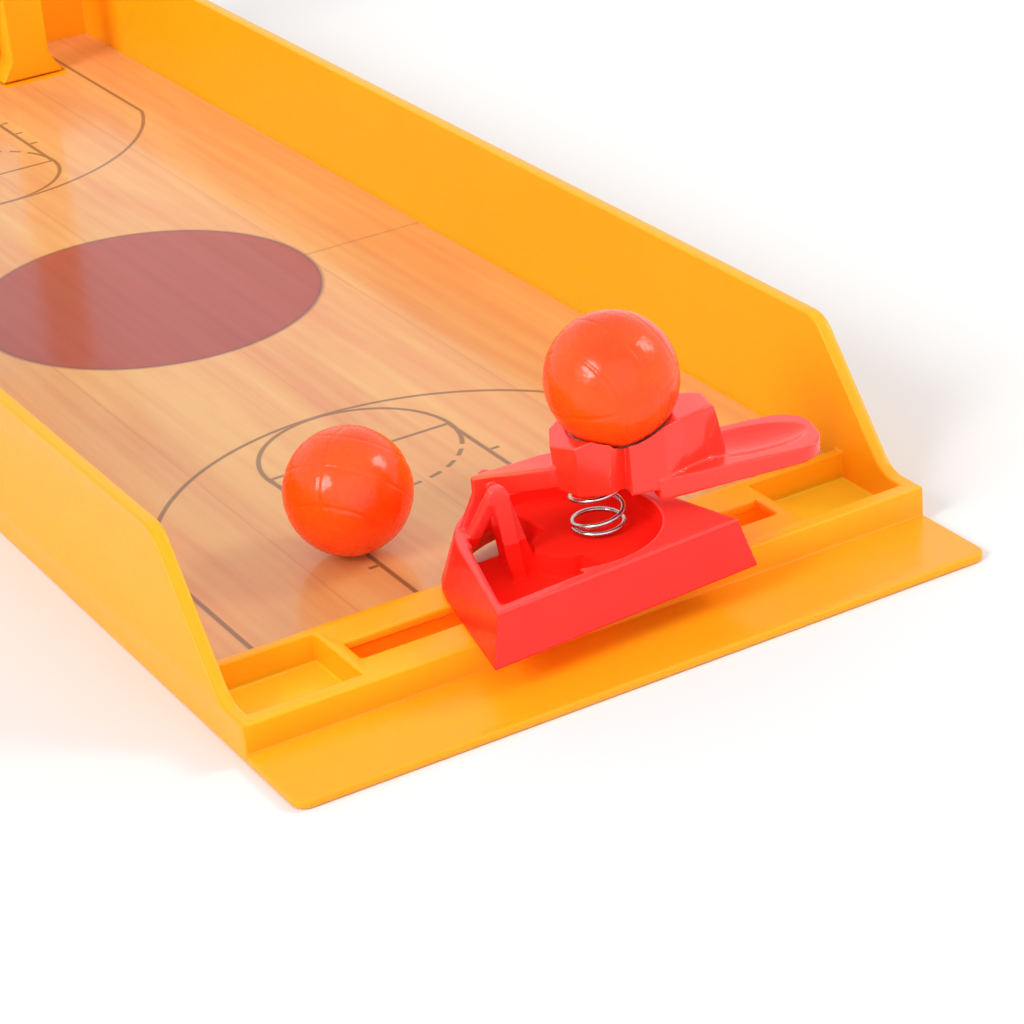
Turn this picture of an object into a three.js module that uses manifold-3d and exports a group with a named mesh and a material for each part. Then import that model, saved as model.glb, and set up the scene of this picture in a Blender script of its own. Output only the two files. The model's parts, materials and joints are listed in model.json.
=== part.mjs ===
// Tabletop basketball game: a shallow tray with a court print, a hoop on a stand at the far end,
// and a spring catapult that slides and turns in a slot at the near end. Lengths in millimetres.
// In this file x runs across the tray, y away from the player from the apron's front edge, z up.
import * as THREE from 'three';
import { mergeVertices } from 'three/addons/utils/BufferGeometryUtils.js';
import Module from 'manifold-3d';

const wasm = await Module();
wasm.setup();

const overrun = 1;
const clearance = 0.3;
const mergeWithin = 1e-4;

const tray = {
  width: 126.6, length: 368, wallTop: 29.7, wall: 2.5, skin: 1.8,
  apronDepth: 17.35, apronThickness: 1.5, apronCorner: 2.5,
  railBack: 38.9, railTop: 6.7, floorTop: 4.7,
  slopeFoot: 25.7, slopeTop: 43.8, slopeBlend: 3,
};
const slot = { halfLength: 39, width: 6.3, centreY: 28, corner: 0.7, ribInset: 1.15, ribThickness: 1.2 };
const pocket = { inner: 41.3, front: 20.4, back: 37, depth: 5.2, wall: 1 };
const print = { thickness: 0.3, margin: 0.4 };
const ball = { radius: 11 };

const stand = {
  legX: 36, legWidth: 10, legDepth: 7, setback: 27, top: 150, barHeight: 9,
  tenonWidth: 6, tenonDepth: 4, footHeight: 5, footSpread: 3,
};
const panel = { width: 104, height: 72, thickness: 1.6, corner: 5, bottom: 84, printMargin: 1 };
const hoop = { inner: 16, wire: 1.9, reach: 23, z: 96, plateWidth: 26, plateHeight: 16, plateThickness: 2 };
const screw = { shank: 1.2, head: 2.5, headHeight: 1.5, length: 8, pilot: 1.5, bolt: 10, spacing: 16 };

const slider = { x: 0.6, bushRadius: 2.85, bushBore: 1.6, washerRadius: 4, washerThickness: 1.1 };
const pivot = { shank: 1.2, pilot: 1.5, head: 2.3, headHeight: 1.4, depth: 5 };

const base = {
  yawDegrees: 3.9, height: 8.8, slabHalfWidth: 25.5, slabX: -1.6, slabY: 18.9, roundRadius: 20.8,
  endDraft: 2.5, slabDraft: 1.4, roundDraft: 3, wall: 2.1, wellRadius: 15.6,
  deck: 4, deckEnd: -7, deckBack: 4, floorTop: 6, trayBack: 10, bossRadius: 5.6, openEnd: -0.6, strap: 2,
};
const spring = {
  wire: 0.8, radius: 4.2, pitch: 4.1, endPitch: 1.35, endTurnShare: 1,
  startDegrees: 180, stepsPerTurn: 8, sides: 5,
};

const lever = {
  yawDegrees: -18.4, offsetX: 6.4, hingeX: -17, hingeZ: 23.8, plateTop: 25.8, plateBottom: 22.2,
  tipX: -20, tipY: 1.1, tipHalf: 0.5, shoulderX: -7.4, rootX: -3, rootFront: -1.4, rootBack: 4.4,
  hubSides: 8, hubTurnDegrees: 6, hubRadius: 7.5, hubFoot: 6.5, hubBottom: 21.5, hubTop: 29.2,
  rimX: -2, rimZ: 31.4,
  boreRadius: 5, boreTop: 25.8,
  cupX: 4, seatGap: 0.35, ballZ: 38.6, bodyHalf: 7, bodyBottom: 20.9,
  hornFootX: 21.8, hornFootZ: 24.6, hornBackX: 20, hornTopX: 17.6, hornZ: 32, hornHalf: 2.4,
  hornWaistX: 14, hornWaistHalf: 5,
  tabStart: 8.6, tabTip: 37.4, tabHalf: 7.2, tabZ: 22.8, tabRise: 0.7, tabCorner: 5.5,
  dishX: 25.4, dishLength: 13, dishHalf: 6.4, dishHeight: 4, dishDepth: 1.8,
  skirtBottom: 19, skirtRise: 2, skin: 1.3, ribX: 21.6, trunnion: 0.7, socket: 1,
};
const ear = {
  front: -2.5, rear: 3, frontThickness: 1.9, rearThickness: 1.4, frontRadius: 1.8, rearRadius: 1.4, step: 0.9,
  footNear: -15.6, footFar: -10.6, ribFar: -13.4, strapX: -26, rimX: -22.9, rimDrop: 2,
  legWidth: 2.4, socketShare: 0.7,
  strutX: -20.9, strutY: 2.2, strutHalf: 1.1,
};

const court = { ballX: -21.4, ballY: 61 };
const rounding = { wheel: 48, ball: 28, small: 16 };

const yellowPlastic = { color: 0xffae1e, roughness: 0.38, metalness: 0 };
const redPlastic = { color: 0xf5382f, roughness: 0.25, metalness: 0 };
const ballPlastic = { color: 0xff5f1f, roughness: 0.22, metalness: 0 };
const courtPaper = { color: 0xe0b184, roughness: 0.45, metalness: 0 };
const panelCard = { color: 0xf4f1ea, roughness: 0.4, metalness: 0 };
const steel = { color: 0xb9bcc0, roughness: 0.3, metalness: 1 };

// Levels that follow from the sizes above
const floorBottom = tray.floorTop - tray.skin;
const railPlateBottom = tray.railTop - tray.skin;
const innerHalf = tray.width / 2 - tray.wall;
const standFront = tray.length - stand.setback;
const printTop = tray.floorTop + print.thickness;
const baseBottom = tray.railTop + clearance;
const baseTop = baseBottom + base.height;
const springFoot = baseBottom + base.floorTop;
const springHead = lever.boreTop - clearance;

function radians(degrees) {
  return THREE.MathUtils.degToRad(degrees);
}

function solidOf(geometry) {
  const bare = geometry.clone();
  bare.deleteAttribute('normal');
  bare.deleteAttribute('uv');
  const merged = mergeVertices(bare, mergeWithin);
  return new wasm.Manifold(new wasm.Mesh({
    numProp: 3,
    vertProperties: new Float32Array(merged.attributes.position.array),
    triVerts: new Uint32Array(merged.index.array),
  }));
}

function geometryOf(solid) {
  const mesh = solid.getMesh();
  const geometry = new THREE.BufferGeometry();
  geometry.setAttribute('position', new THREE.BufferAttribute(new Float32Array(mesh.vertProperties), 3));
  geometry.setIndex(new THREE.BufferAttribute(new Uint32Array(mesh.triVerts), 1));
  geometry.computeVertexNormals();
  return geometry;
}

function join(...geometries) {
  return geometryOf(geometries.map(solidOf).reduce((sum, solid) => sum.add(solid)));
}

function cut(geometry, ...tools) {
  return geometryOf(tools.map(solidOf).reduce((left, tool) => left.subtract(tool), solidOf(geometry)));
}

function common(geometry, tool) {
  return geometryOf(solidOf(geometry).intersect(solidOf(tool)));
}

function block([x0, x1], [y0, y1], [z0, z1]) {
  const geometry = new THREE.BoxGeometry(x1 - x0, y1 - y0, z1 - z0);
  return geometry.translate((x0 + x1) / 2, (y0 + y1) / 2, (z0 + z1) / 2);
}

// Upright cylinder or cone
function post(x, y, z0, z1, radius, topRadius = radius, sides = rounding.small) {
  const geometry = new THREE.CylinderGeometry(topRadius, radius, z1 - z0, sides);
  return geometry.rotateX(Math.PI / 2).translate(x, y, (z0 + z1) / 2);
}

// Outline in x and y, drawn upwards from z0 to z1
function prism(outline, z0, z1, curveSegments = rounding.small) {
  const geometry = new THREE.ExtrudeGeometry(outline, { depth: z1 - z0, bevelEnabled: false, curveSegments });
  return geometry.translate(0, 0, z0);
}

// Outline given in y and z, or along and up, drawn across from x0 to x1
function acrossPrism(outline, x0, x1) {
  const options = { depth: x1 - x0, bevelEnabled: false, curveSegments: rounding.small };
  const geometry = new THREE.ExtrudeGeometry(outline, options);
  return geometry.rotateX(Math.PI / 2).rotateZ(Math.PI / 2).translate(x0, 0, 0);
}

// Outline given in x and z, drawn from y0 to y1
function sidePrism(outline, y0, y1) {
  const options = { depth: y1 - y0, bevelEnabled: false, curveSegments: rounding.small };
  const geometry = new THREE.ExtrudeGeometry(outline, options);
  return geometry.rotateX(Math.PI / 2).translate(0, y1, 0);
}

function polygon(points) {
  return new THREE.Shape(points.map(([a, b]) => new THREE.Vector2(a, b)));
}

function roundedRectangle(x0, x1, y0, y1, radius) {
  const shape = new THREE.Shape();
  shape.moveTo(x0 + radius, y0);
  shape.lineTo(x1 - radius, y0);
  shape.absarc(x1 - radius, y0 + radius, radius, -Math.PI / 2, 0);
  shape.lineTo(x1, y1 - radius);
  shape.absarc(x1 - radius, y1 - radius, radius, 0, Math.PI / 2);
  shape.lineTo(x0 + radius, y1);
  shape.absarc(x0 + radius, y1 - radius, radius, Math.PI / 2, Math.PI);
  shape.lineTo(x0, y0 + radius);
  shape.absarc(x0 + radius, y0 + radius, radius, Math.PI, 3 * Math.PI / 2);
  return shape;
}

// Closed solid between two outlines with equally many points
function loft(lower, upper, z0, z1) {
  const count = lower.length;
  const positions = [];
  lower.forEach(([x, y]) => positions.push(x, y, z0));
  upper.forEach(([x, y]) => positions.push(x, y, z1));
  const faces = THREE.ShapeUtils.triangulateShape(lower.map(([x, y]) => new THREE.Vector2(x, y)), []);
  const index = [];
  faces.forEach(([a, b, c]) => {
    index.push(a, c, b);
    index.push(a + count, b + count, c + count);
  });
  for (let i = 0; i < count; i += 1) {
    const next = (i + 1) % count;
    index.push(i, next, next + count);
    index.push(i, next + count, i + count);
  }
  const geometry = new THREE.BufferGeometry();
  geometry.setAttribute('position', new THREE.Float32BufferAttribute(positions, 3));
  geometry.setIndex(index);
  return geometry;
}

function part(name, geometry, finish) {
  const mesh = new THREE.Mesh(geometry, new THREE.MeshStandardMaterial(finish));
  mesh.name = name;
  return mesh;
}

// Tray: floor plate, walls, slotted rail and thin apron in one moulding, open underneath
function sideWallOutline() {
  const slope = new THREE.Vector2(tray.slopeTop - tray.slopeFoot, tray.wallTop - tray.railTop).normalize();
  const blend = tray.slopeBlend;
  const outline = new THREE.Shape();
  outline.moveTo(tray.apronDepth, 0);
  outline.lineTo(tray.length, 0);
  outline.lineTo(tray.length, tray.wallTop);
  outline.lineTo(tray.slopeTop + blend, tray.wallTop);
  outline.quadraticCurveTo(
    tray.slopeTop, tray.wallTop,
    tray.slopeTop - slope.x * blend, tray.wallTop - slope.y * blend,
  );
  outline.lineTo(tray.slopeFoot + slope.x * blend, tray.railTop + slope.y * blend);
  outline.quadraticCurveTo(tray.slopeFoot, tray.railTop, tray.slopeFoot - blend, tray.railTop);
  outline.lineTo(tray.apronDepth, tray.railTop);
  return outline;
}

function legSocket(side) {
  const halfWidth = stand.tenonWidth / 2 + clearance;
  const middleY = standFront + stand.legDepth / 2;
  const halfDepth = stand.tenonDepth / 2 + clearance;
  const x = side * stand.legX;
  return block(
    [x - halfWidth, x + halfWidth],
    [middleY - halfDepth, middleY + halfDepth],
    [floorBottom - overrun, tray.floorTop + overrun],
  );
}

function buildTray() {
  const half = tray.width / 2;
  const inside = half - tray.wall;
  const back = tray.length - tray.wall;
  const wallOutline = sideWallOutline();
  const corner = tray.apronCorner;
  const apronOutline = new THREE.Shape();
  apronOutline.moveTo(-half, tray.apronDepth + overrun);
  apronOutline.lineTo(-half, corner);
  apronOutline.absarc(-half + corner, corner, corner, Math.PI, 3 * Math.PI / 2);
  apronOutline.lineTo(half - corner, 0);
  apronOutline.absarc(half - corner, corner, corner, 3 * Math.PI / 2, 2 * Math.PI);
  apronOutline.lineTo(half, tray.apronDepth + overrun);
  const body = join(
    acrossPrism(wallOutline, -half, -inside),
    acrossPrism(wallOutline, inside, half),
    block([-half, half], [back, tray.length], [0, tray.wallTop]),
    block([-half, half], [tray.apronDepth, tray.railBack], [0, tray.railTop]),
    block([-half, half], [tray.railBack - tray.skin, tray.length], [0, tray.floorTop]),
    prism(apronOutline, 0, tray.apronThickness),
  );
  const slotEnd = slot.width / 2;
  const slotOutline = roundedRectangle(
    -slot.halfLength, slot.halfLength, slot.centreY - slotEnd, slot.centreY + slotEnd, slot.corner,
  );
  const railFront = tray.apronDepth + tray.skin;
  const railInner = tray.railBack - tray.skin;
  const pocketFloor = tray.railTop - pocket.depth;
  const cavityEnd = pocket.inner - pocket.wall;
  const cuts = [
    block([-inside, inside], [railInner, back], [-overrun, floorBottom]),
    block([-cavityEnd, cavityEnd], [railFront, tray.railBack], [-overrun, floorBottom]),
    block([-cavityEnd, cavityEnd], [railFront, railInner], [-overrun, railPlateBottom]),
    prism(slotOutline, floorBottom - overrun, tray.railTop + overrun),
    legSocket(-1),
    legSocket(1),
  ];
  [-1, 1].forEach((side) => {
    const across = (near, far) => (side < 0 ? [-far, -near] : [near, far]);
    const opening = [pocketFloor, tray.railTop + overrun];
    cuts.push(block(across(pocket.inner, inside), [pocket.front, pocket.back], opening));
  });
  const ribInner = slotEnd + slot.ribInset;
  const ribs = [-1, 1].map((side) => {
    const near = slot.centreY + side * ribInner;
    const far = near + side * slot.ribThickness;
    return block(
      [-cavityEnd - overrun, cavityEnd + overrun],
      [Math.min(near, far), Math.max(near, far)],
      [0, railPlateBottom + overrun],
    );
  });
  return part('tray', join(cut(body, ...cuts), ...ribs), yellowPlastic);
}

// Printed court sheet, cut out round the legs of the stand
function buildCourtPrint() {
  const half = innerHalf - print.margin;
  const sheet = block(
    [-half, half],
    [tray.railBack + print.margin, tray.length - tray.wall - print.margin],
    [tray.floorTop, printTop],
  );
  const reach = stand.footSpread + print.margin;
  const notch = (side) => block(
    [side * stand.legX - stand.legWidth / 2 - reach, side * stand.legX + stand.legWidth / 2 + reach],
    [standFront - reach, tray.length],
    [tray.floorTop - overrun, printTop + overrun],
  );
  return part('court_print', cut(sheet, notch(-1), notch(1)), courtPaper);
}

// Stand: two legs with spread feet, a low tie bar, and a frame behind the backboard
function buildStand() {
  const bottom = tray.floorTop + clearance;
  const backY = standFront + stand.legDepth;
  const middleY = standFront + stand.legDepth / 2;
  const outer = stand.legX + stand.legWidth / 2;
  const inner = stand.legX - stand.legWidth / 2;
  const pieces = [];
  [-1, 1].forEach((side) => {
    const x = side * stand.legX;
    const foot = stand.legWidth / 2;
    const footOutline = polygon([
      [x - foot - stand.footSpread, bottom],
      [x + foot + stand.footSpread, bottom],
      [x + foot, bottom + stand.footHeight],
      [x + foot, stand.top],
      [x - foot, stand.top],
      [x - foot, bottom + stand.footHeight],
    ]);
    pieces.push(sidePrism(footOutline, standFront, backY));
    pieces.push(block(
      [x - stand.tenonWidth / 2, x + stand.tenonWidth / 2],
      [middleY - stand.tenonDepth / 2, middleY + stand.tenonDepth / 2],
      [floorBottom + clearance, bottom + overrun],
    ));
  });
  const bar = (z0) => block([-outer, outer], [standFront, backY], [z0, z0 + stand.barHeight]);
  const hoopBar = hoop.z - hoop.plateHeight / 2 - stand.barHeight / 2;
  pieces.push(bar(stand.top - stand.barHeight));
  const hoopBarTop = hoopBar + stand.barHeight + hoop.plateHeight;
  pieces.push(block([-inner - overrun, inner + overrun], [standFront, backY], [hoopBar, hoopBarTop]));
  const pilots = [-1, 1].flatMap((side) => [
    post(side * stand.legX, middleY, floorBottom, floorBottom + screw.length + clearance, screw.pilot),
    hoopScrewHole(side, standFront - overrun, backY + overrun),
  ]);
  return part('backboard_stand', cut(join(...pieces), ...pilots), yellowPlastic);
}

function hoopScrewHole(side, y0, y1) {
  const geometry = new THREE.CylinderGeometry(screw.pilot, screw.pilot, y1 - y0, rounding.small);
  return geometry.translate(side * screw.spacing / 2, (y0 + y1) / 2, hoop.z);
}

function buildPanel() {
  const front = standFront - clearance - panel.thickness;
  const outline = roundedRectangle(
    -panel.width / 2, panel.width / 2, panel.bottom, panel.bottom + panel.height, panel.corner,
  );
  const plate = sidePrism(outline, front, front + panel.thickness);
  const holes = [-1, 1].map((side) => hoopScrewHole(side, front - overrun, standFront));
  return part('backboard_panel', cut(plate, ...holes), panelCard);
}

// Printed sheet on the front of the backboard, cut out round the hoop's plate
function buildPanelPrint() {
  const back = standFront - clearance - panel.thickness;
  const margin = panel.printMargin;
  const outline = roundedRectangle(
    margin - panel.width / 2, panel.width / 2 - margin,
    panel.bottom + margin, panel.bottom + panel.height - margin, panel.corner - margin,
  );
  const sheet = sidePrism(outline, back - print.thickness, back);
  const half = hoop.plateWidth / 2 + margin;
  const notchTop = hoop.z + hoop.plateHeight / 2 + margin;
  const notch = block([-half, half], [back - overrun, back + overrun], [0, notchTop]);
  return part('backboard_print', cut(sheet, notch), panelCard);
}

// Hoop: a round ring on two arms from a screwed plate
function buildHoop() {
  const back = standFront - 2 * clearance - panel.thickness;
  const front = back - hoop.plateThickness;
  const plateOutline = roundedRectangle(
    -hoop.plateWidth / 2, hoop.plateWidth / 2,
    hoop.z - hoop.plateHeight / 2, hoop.z + hoop.plateHeight / 2, hoop.wire,
  );
  const ringY = front - hoop.reach + hoop.wire;
  const ringRadius = hoop.inner + hoop.wire;
  const ringZ = hoop.z - hoop.plateHeight / 2 + hoop.wire;
  const ring = new THREE.TorusGeometry(ringRadius, hoop.wire, rounding.small / 2, rounding.wheel);
  ring.translate(0, ringY, ringZ);
  const arms = [-1, 1].map((side) => block(
    [side * hoop.inner / 2 - hoop.wire, side * hoop.inner / 2 + hoop.wire],
    [ringY + ringRadius * Math.cos(Math.asin(1 / 2)) - hoop.wire, front + overrun / 2],
    [ringZ - hoop.wire, ringZ + hoop.wire],
  ));
  const body = join(sidePrism(plateOutline, front, back), ring, ...arms);
  const holes = [-1, 1].map((side) => hoopScrewHole(side, front - overrun, back + overrun));
  return part('hoop_ring', cut(body, ...holes), redPlastic);
}

function buildHoopScrew(side) {
  const front = standFront - 3 * clearance - panel.thickness - hoop.plateThickness;
  const profile = [
    [0, 0],
    [screw.shank, 0],
    [screw.shank, screw.bolt],
    [screw.head, screw.bolt],
    [screw.head * 2 / 3, screw.bolt + screw.headHeight],
    [0, screw.bolt + screw.headHeight],
  ].map(([r, z]) => new THREE.Vector2(r, z));
  const geometry = new THREE.LatheGeometry(profile, rounding.small).translate(0, -screw.bolt, 0);
  geometry.rotateX(Math.PI).translate(side * screw.spacing / 2, front, hoop.z);
  return part(side < 0 ? 'hoop_screw_left' : 'hoop_screw_right', geometry, steel);
}

// Self-tapping screw with its head down, under the floor
function upwardScrew(name, x, y, headTop, shank, head, headHeight, length) {
  const profile = [
    [0, -headHeight],
    [head * 3 / 4, -headHeight],
    [head, -headHeight / 2],
    [head, 0],
    [shank, 0],
    [shank, length - shank],
    [0, length],
  ].map(([r, z]) => new THREE.Vector2(r, z));
  const geometry = new THREE.LatheGeometry(profile, rounding.small).rotateX(Math.PI / 2);
  return part(name, geometry.translate(x, y, headTop), steel);
}

function buildStandScrew(side) {
  const middleY = standFront + stand.legDepth / 2;
  const name = side < 0 ? 'stand_screw_left' : 'stand_screw_right';
  const head = screw.head + screw.shank;
  return upwardScrew(
    name, side * stand.legX, middleY, floorBottom, screw.shank, head, screw.headHeight, screw.length,
  );
}

// Slider: a round bush that fills the slot's width, and a washer that hooks under the rail plate
function buildBush() {
  const bottom = railPlateBottom - clearance;
  const bush = post(0, 0, bottom, tray.railTop, slider.bushRadius);
  const bore = post(0, 0, bottom - overrun, baseBottom, slider.bushBore);
  return part('slide_bush', cut(bush, bore), redPlastic);
}

function buildWasher() {
  const top = railPlateBottom - 2 * clearance;
  const disc = post(0, 0, top - slider.washerThickness, top, slider.washerRadius);
  const bore = post(0, 0, floorBottom - slider.washerThickness, baseBottom, slider.bushBore);
  return part('retainer_washer', cut(disc, bore), steel);
}

function buildPivotScrew() {
  const headTop = railPlateBottom - 3 * clearance - slider.washerThickness;
  const length = baseBottom + pivot.depth - headTop - clearance;
  return upwardScrew('pivot_screw', 0, 0, headTop, pivot.shank, pivot.head, pivot.headHeight, length);
}

// Base outline: a flat slab towards the player, straight drafted ends that touch a round back
function baseOutline(draftEnd, draftSlab, draftRound) {
  const radius = base.roundRadius - draftRound;
  const cornerY = -base.slabY + draftSlab;
  const touch = (cornerX) => {
    const bearing = Math.atan2(cornerY, Math.abs(cornerX));
    return bearing + Math.acos(radius / Math.hypot(cornerX, cornerY));
  };
  const right = base.slabX + base.slabHalfWidth - draftEnd;
  const left = base.slabX - base.slabHalfWidth + draftEnd;
  const start = touch(right);
  const end = Math.PI - touch(left);
  const points = [[left, cornerY], [right, cornerY]];
  for (let i = 0; i <= rounding.small; i += 1) {
    const angle = start + (end - start) * i / rounding.small;
    points.push([radius * Math.cos(angle), radius * Math.sin(angle)]);
  }
  return points;
}

function leverToBase(geometry) {
  return geometry.rotateZ(radians(lever.yawDegrees)).translate(lever.offsetX, 0, 0);
}

// Hinge ears: the front one has a stepped leg and a strut to the rim, the rear one an A-shaped plate
function earLeg(footFar, radius, y0, y1) {
  return sidePrism(polygon([
    [ear.footNear, baseBottom],
    [footFar, baseBottom],
    [lever.hingeX + radius, lever.hingeZ],
    [lever.hingeX - radius / 2, lever.hingeZ],
  ]), y0, y1);
}

function earApex(radius, y0, y1) {
  return sidePrism(new THREE.Shape().absarc(lever.hingeX, lever.hingeZ, radius, 0, 2 * Math.PI), y0, y1);
}

function earStrap(y0, y1) {
  return block([ear.strapX, ear.footFar], [y0, y1], [baseBottom, baseBottom + base.strap]);
}

function frontEar() {
  const inner = ear.front;
  const outer = inner - ear.frontThickness;
  const radius = ear.frontRadius;
  const half = ear.strutHalf;
  const section = roundedRectangle(-half, half, -half, half, half / 2);
  const strut = new THREE.ExtrudeGeometry(section, {
    steps: 1,
    curveSegments: 2,
    bevelEnabled: false,
    extrudePath: new THREE.LineCurve3(
      new THREE.Vector3(lever.hingeX - radius / 2, (inner + outer) / 2, lever.hingeZ),
      new THREE.Vector3(ear.strutX, ear.strutY, baseTop - ear.rimDrop),
    ),
  });
  return [
    earApex(radius, outer, inner),
    earLeg(ear.ribFar, radius, outer, inner),
    earLeg(ear.footFar, radius, inner - ear.step, inner),
    earStrap(outer, inner),
    strut,
  ];
}

function rearEar() {
  const inner = ear.rear;
  const outer = inner + ear.rearThickness;
  const radius = ear.rearRadius;
  const rimLeg = sidePrism(polygon([
    [ear.rimX, baseTop - ear.rimDrop],
    [ear.rimX + ear.legWidth, baseTop - ear.rimDrop],
    [lever.hingeX + radius / 2, lever.hingeZ],
    [lever.hingeX - radius, lever.hingeZ],
  ]), inner, outer);
  return [
    earApex(radius, inner, outer),
    earLeg(ear.ribFar, radius, inner, outer),
    earStrap(inner, outer),
    rimLeg,
  ];
}

function buildEars() {
  const across = [ear.front - ear.step, ear.rear + ear.step];
  const cross = block([ear.footNear, ear.ribFar], across, [baseBottom, baseBottom + base.strap]);
  return leverToBase(join(...frontEar(), ...rearEar(), cross));
}

function buildBase() {
  const lower = baseOutline(0, 0, 0);
  const upper = baseOutline(base.endDraft, base.slabDraft, base.roundDraft);
  const innerLower = baseOutline(base.wall, base.wall, base.wall);
  const innerUpper = baseOutline(
    base.endDraft + base.wall, base.slabDraft + base.wall, base.roundDraft + base.wall,
  );
  const deckBottom = baseTop - base.deck;
  const floorZ = baseBottom + base.floorTop;
  const shell = loft(lower, upper, baseBottom, baseTop);
  const hollow = loft(innerLower, innerUpper, baseBottom - overrun, deckBottom);
  const well = post(0, 0, floorZ, baseTop + overrun, base.wellRadius, base.wellRadius, rounding.wheel);
  const openSide = block(
    [-base.slabHalfWidth, base.openEnd],
    [-base.slabY, base.roundRadius],
    [baseBottom, baseTop + overrun],
  );
  const throughWell = common(
    post(0, 0, deckBottom - overrun, baseTop + overrun, base.wellRadius, base.wellRadius, rounding.wheel),
    openSide,
  );
  const openCorner = common(
    loft(innerLower, innerUpper, baseBottom - overrun, baseTop + overrun),
    block(
      [-base.slabHalfWidth * 2, base.deckEnd],
      [-base.slabY, base.deckBack],
      [baseBottom, baseTop + overrun],
    ),
  );
  const web = common(
    block([base.openEnd, base.openEnd + base.wall], [-base.slabY, base.roundRadius], [baseBottom, floorZ]),
    shell,
  );
  const cornerFloor = common(
    block(
      [-base.slabHalfWidth * 2, base.openEnd + base.wall],
      [-base.slabY, base.trayBack],
      [baseBottom, baseBottom + base.strap],
    ),
    shell,
  );
  const boss = post(0, 0, baseBottom, floorZ, base.bossRadius);
  const filled = join(cut(shell, hollow, well, throughWell, openCorner), web, cornerFloor, boss);
  const bounds = loft(lower, upper, baseBottom, baseTop);
  const above = loft(upper, upper, baseTop - base.strap, lever.plateTop);
  const ears = common(buildEars(), join(bounds, above));
  const socket = earApex(
    lever.socket,
    ear.front - ear.frontThickness * ear.socketShare,
    ear.rear + ear.rearThickness * ear.socketShare,
  );
  const pilot = post(0, 0, baseBottom - overrun, baseBottom + pivot.depth, pivot.pilot);
  return part('launcher_base', cut(join(filled, ears), leverToBase(socket), pilot), redPlastic);
}

// Compression spring: close end turns, open turns between them, straight ends square to their seats
function springPath() {
  const height = springHead - springFoot - clearance;
  const straight = spring.wire;
  const endRise = spring.endPitch * spring.endTurnShare;
  const middleRise = height - 2 * straight - 2 * endRise;
  const middleTurns = Math.round(middleRise / spring.pitch * spring.stepsPerTurn) / spring.stepsPerTurn;
  const turns = middleTurns + 2 * spring.endTurnShare;
  const steps = Math.round(turns * spring.stepsPerTurn);
  const start = radians(spring.startDegrees);
  const points = [new THREE.Vector3(spring.radius * Math.cos(start), spring.radius * Math.sin(start), 0)];
  for (let i = 0; i <= steps; i += 1) {
    const turn = i / spring.stepsPerTurn;
    const lowPart = Math.min(turn, spring.endTurnShare);
    const highPart = Math.max(turn - spring.endTurnShare - middleTurns, 0);
    const middlePart = turn - lowPart - highPart;
    const z = straight + (lowPart + highPart) * spring.endPitch + middlePart * middleRise / middleTurns;
    const angle = start + 2 * Math.PI * turn;
    points.push(new THREE.Vector3(spring.radius * Math.cos(angle), spring.radius * Math.sin(angle), z));
  }
  const last = points[points.length - 1];
  points.push(new THREE.Vector3(last.x, last.y, height));
  return points;
}

// Round tube through points, each ring square to the mean of its two runs
function tube(points, radius, sides) {
  const positions = [];
  const index = [];
  let across = new THREE.Vector3(1, 0, 0);
  points.forEach((point, i) => {
    const before = points[Math.max(i - 1, 0)];
    const after = points[Math.min(i + 1, points.length - 1)];
    const along = new THREE.Vector3().subVectors(after, before).normalize();
    across = across.clone().addScaledVector(along, -across.dot(along)).normalize();
    const up = new THREE.Vector3().crossVectors(along, across);
    for (let s = 0; s < sides; s += 1) {
      const angle = 2 * Math.PI * s / sides;
      const ring = point.clone()
        .addScaledVector(across, radius * Math.cos(angle))
        .addScaledVector(up, radius * Math.sin(angle));
      positions.push(ring.x, ring.y, ring.z);
    }
  });
  for (let i = 0; i < points.length - 1; i += 1) {
    for (let s = 0; s < sides; s += 1) {
      const a = i * sides + s;
      const b = i * sides + (s + 1) % sides;
      index.push(a, b, b + sides, a, b + sides, a + sides);
    }
  }
  const lastRing = (points.length - 1) * sides;
  for (let s = 1; s < sides - 1; s += 1) {
    index.push(0, s + 1, s);
    index.push(lastRing, lastRing + s, lastRing + s + 1);
  }
  const geometry = new THREE.BufferGeometry();
  geometry.setAttribute('position', new THREE.Float32BufferAttribute(positions, 3));
  geometry.setIndex(index);
  return geometry;
}

function leastSelfGap(points, wire, stepsPerTurn) {
  let least = Infinity;
  points.forEach((a, i) => {
    points.slice(i + Math.round(stepsPerTurn / 2)).forEach((b) => {
      least = Math.min(least, a.distanceTo(b) - wire);
    });
  });
  return least;
}

function buildSpring() {
  const points = springPath();
  const gap = leastSelfGap(points, spring.wire, spring.stepsPerTurn);
  console.log('spring: least gap to itself ' + gap.toFixed(2) + ' mm');
  const coil = tube(points, spring.wire / 2, spring.sides).translate(0, 0, springFoot + clearance);
  return part('spring', coil, steel);
}

// Lever: pointed hinge plate with trunnions, hub over the spring, cup with a raised lip, thumb tab on a skirt
function buildHingePlate() {
  const outline = polygon([
    [lever.tipX, lever.tipY - lever.tipHalf],
    [lever.shoulderX, lever.rootFront],
    [lever.rootX, lever.rootFront],
    [lever.rootX, lever.rootBack],
    [lever.shoulderX, lever.rootBack],
    [lever.tipX, lever.tipY + lever.tipHalf],
  ]);
  const trunnionFront = ear.front - ear.frontThickness / 2;
  const trunnionRear = ear.rear + ear.rearThickness / 2;
  const trunnions = earApex(lever.trunnion, trunnionFront, trunnionRear);
  return [prism(outline, lever.plateBottom, lever.plateTop), trunnions];
}

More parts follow.
